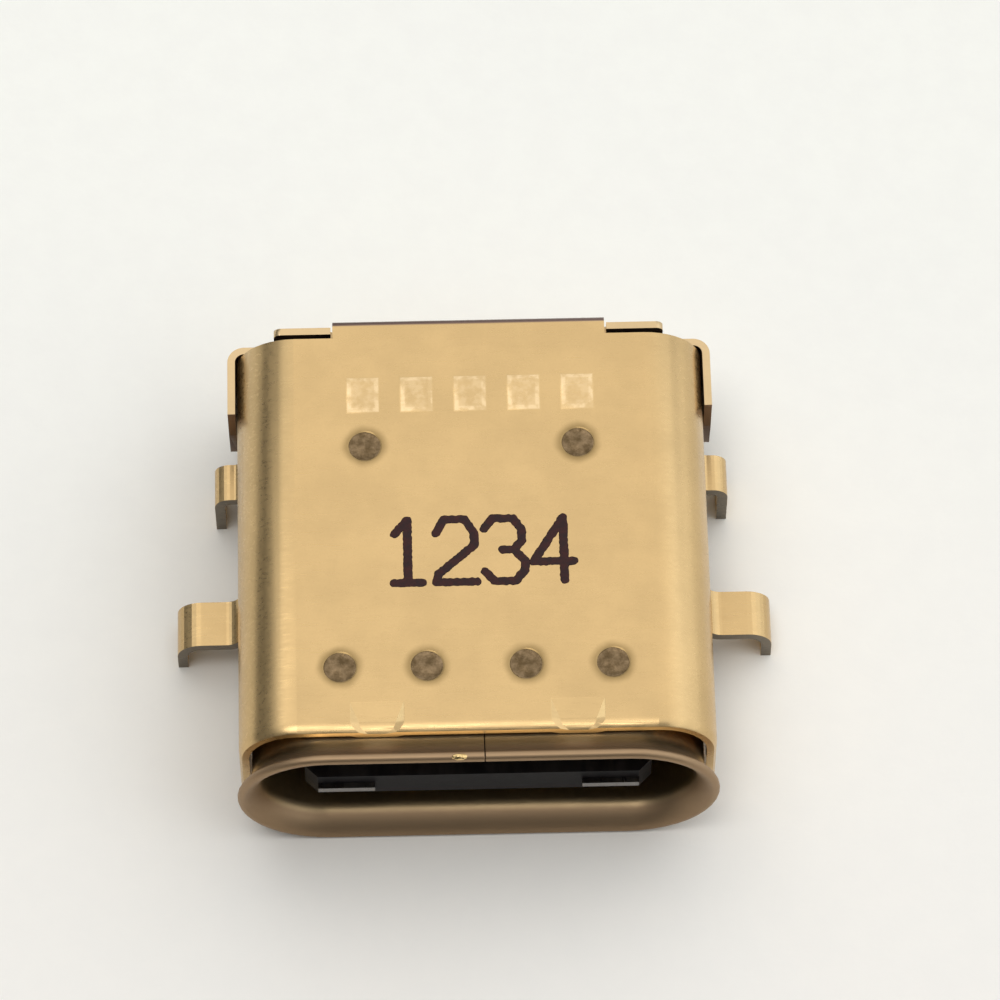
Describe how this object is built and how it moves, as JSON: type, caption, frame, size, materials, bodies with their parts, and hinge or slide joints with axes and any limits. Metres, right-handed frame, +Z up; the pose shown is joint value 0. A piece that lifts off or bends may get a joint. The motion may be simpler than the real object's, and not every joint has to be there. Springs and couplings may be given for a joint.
{
  "type": "usb-c socket",
  "caption": "Gold-plated USB Type-C board socket with an oval flared mouth, a wrapped sheet-metal cover, side solder legs and surface tails.",
  "frame": {"origin": "under the middle of the part, level with the lip's underside and the tips of the four legs", "axes": "+X across the mouth, +Y from the mouth back to the tails, +Z up"},
  "size_m": [0.0118, 0.0103, 0.0036],
  "materials": {
    "gold_cover": "satin gold plating over stamped sheet",
    "gold_shell": "satin gold plating over a formed shell",
    "gold_bracket": "satin gold plating over stamped sheet",
    "gold_contact": "bright gold plating",
    "black_plastic": "moulded, slightly glossy",
    "plate_steel": "rolled sheet",
    "marking_ink": "dark printed ink"
  },
  "bodies": {
    "root": {"cover_shell": "gold_cover", "inner_shell": "gold_shell", "rear_bracket": "gold_bracket", "tongue_overmould": "black_plastic", "upper_housing": "black_plastic", "lower_housing": "black_plastic", "mid_plate": "plate_steel", "upper_ground_pad": "plate_steel", "lower_ground_pad": "plate_steel", "upper_contact_1": "gold_contact", "upper_contact_2": "gold_contact", "upper_contact_3": "gold_contact", "upper_contact_4": "gold_contact", "upper_contact_5": "gold_contact", "upper_contact_6": "gold_contact", "upper_contact_7": "gold_contact", "upper_contact_8": "gold_contact", "upper_contact_9": "gold_contact", "upper_contact_10": "gold_contact", "upper_contact_11": "gold_contact", "upper_contact_12": "gold_contact", "lower_contact_1": "gold_contact", "lower_contact_2": "gold_contact", "lower_contact_3": "gold_contact", "lower_contact_4": "gold_contact", "lower_contact_5": "gold_contact", "lower_contact_6": "gold_contact", "lower_contact_7": "gold_contact", "lower_contact_8": "gold_contact", "lower_contact_9": "gold_contact", "lower_contact_10": "gold_contact", "lower_contact_11": "gold_contact", "lower_contact_12": "gold_contact"}
  },
  "joints": []
}
